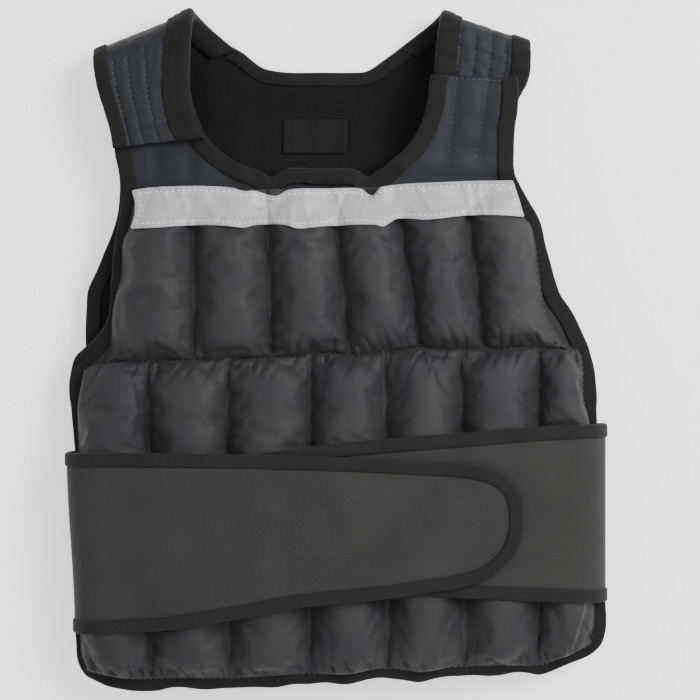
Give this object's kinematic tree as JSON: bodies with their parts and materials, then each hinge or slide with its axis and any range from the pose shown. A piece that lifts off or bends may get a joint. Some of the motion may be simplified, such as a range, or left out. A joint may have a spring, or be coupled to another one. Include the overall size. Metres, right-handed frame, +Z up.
{
  "type": "weighted vest",
  "caption": "Sleeveless weighted training vest lying on its back, with rows of filled pockets, folded shoulder straps, a reflective stripe and a wrap-over waist belt.",
  "frame": {"origin": "middle of the footprint, on the surface that the vest lies on", "axes": "+Y from the hem to the shoulders, +X to the viewer's right across the front, +Z up from the surface through the front"},
  "size_m": [0.446, 0.5616, 0.0782],
  "materials": {
    "edge_binding": "ribbed woven tape",
    "panel_cloth": "coated nylon with a dark mesh lining",
    "pocket_cloth": "coated nylon with a soft sheen",
    "belt_cloth": "matt brushed loop cloth",
    "belt_binding": "woven tape",
    "patch_cloth": "plain matt woven cloth",
    "reflective_tape": "smooth pale grey reflective tape",
    "strap_cloth": "quilted coated nylon"
  },
  "bodies": {
    "root": {"back_neck_binding": "edge_binding", "back_panel": "panel_cloth", "back_pocket_lower_1": "pocket_cloth", "back_pocket_lower_2": "pocket_cloth", "back_pocket_lower_3": "pocket_cloth", "back_pocket_lower_4": "pocket_cloth", "back_pocket_lower_5": "pocket_cloth", "back_pocket_lower_6": "pocket_cloth", "back_pocket_lower_7": "pocket_cloth", "back_pocket_upper_1": "pocket_cloth", "back_pocket_upper_2": "pocket_cloth", "back_pocket_upper_3": "pocket_cloth", "back_pocket_upper_4": "pocket_cloth", "back_pocket_upper_5": "pocket_cloth", "back_pocket_upper_6": "pocket_cloth", "back_rim_binding": "edge_binding", "belt_back": "belt_cloth", "belt_back_lower_binding": "belt_binding", "belt_back_upper_binding": "belt_binding", "belt_wing_left": "belt_cloth", "belt_wing_left_binding": "belt_binding", "belt_wing_right": "belt_cloth", "belt_wing_right_binding": "belt_binding", "front_neck_binding": "edge_binding", "front_panel": "panel_cloth", "front_pocket_lower_1": "pocket_cloth", "front_pocket_lower_2": "pocket_cloth", "front_pocket_lower_3": "pocket_cloth", "front_pocket_lower_4": "pocket_cloth", "front_pocket_lower_5": "pocket_cloth", "front_pocket_lower_6": "pocket_cloth", "front_pocket_lower_7": "pocket_cloth", "front_pocket_upper_1": "pocket_cloth", "front_pocket_upper_2": "pocket_cloth", "front_pocket_upper_3": "pocket_cloth", "front_pocket_upper_4": "pocket_cloth", "front_pocket_upper_5": "pocket_cloth", "front_pocket_upper_6": "pocket_cloth", "front_rim_binding": "edge_binding", "lining_patch": "patch_cloth", "reflective_stripe": "reflective_tape", "strap_left": "strap_cloth", "strap_left_inner_binding": "edge_binding", "strap_left_outer_binding": "edge_binding", "strap_right": "strap_cloth", "strap_right_inner_binding": "edge_binding", "strap_right_outer_binding": "edge_binding"}
  },
  "joints": []
}
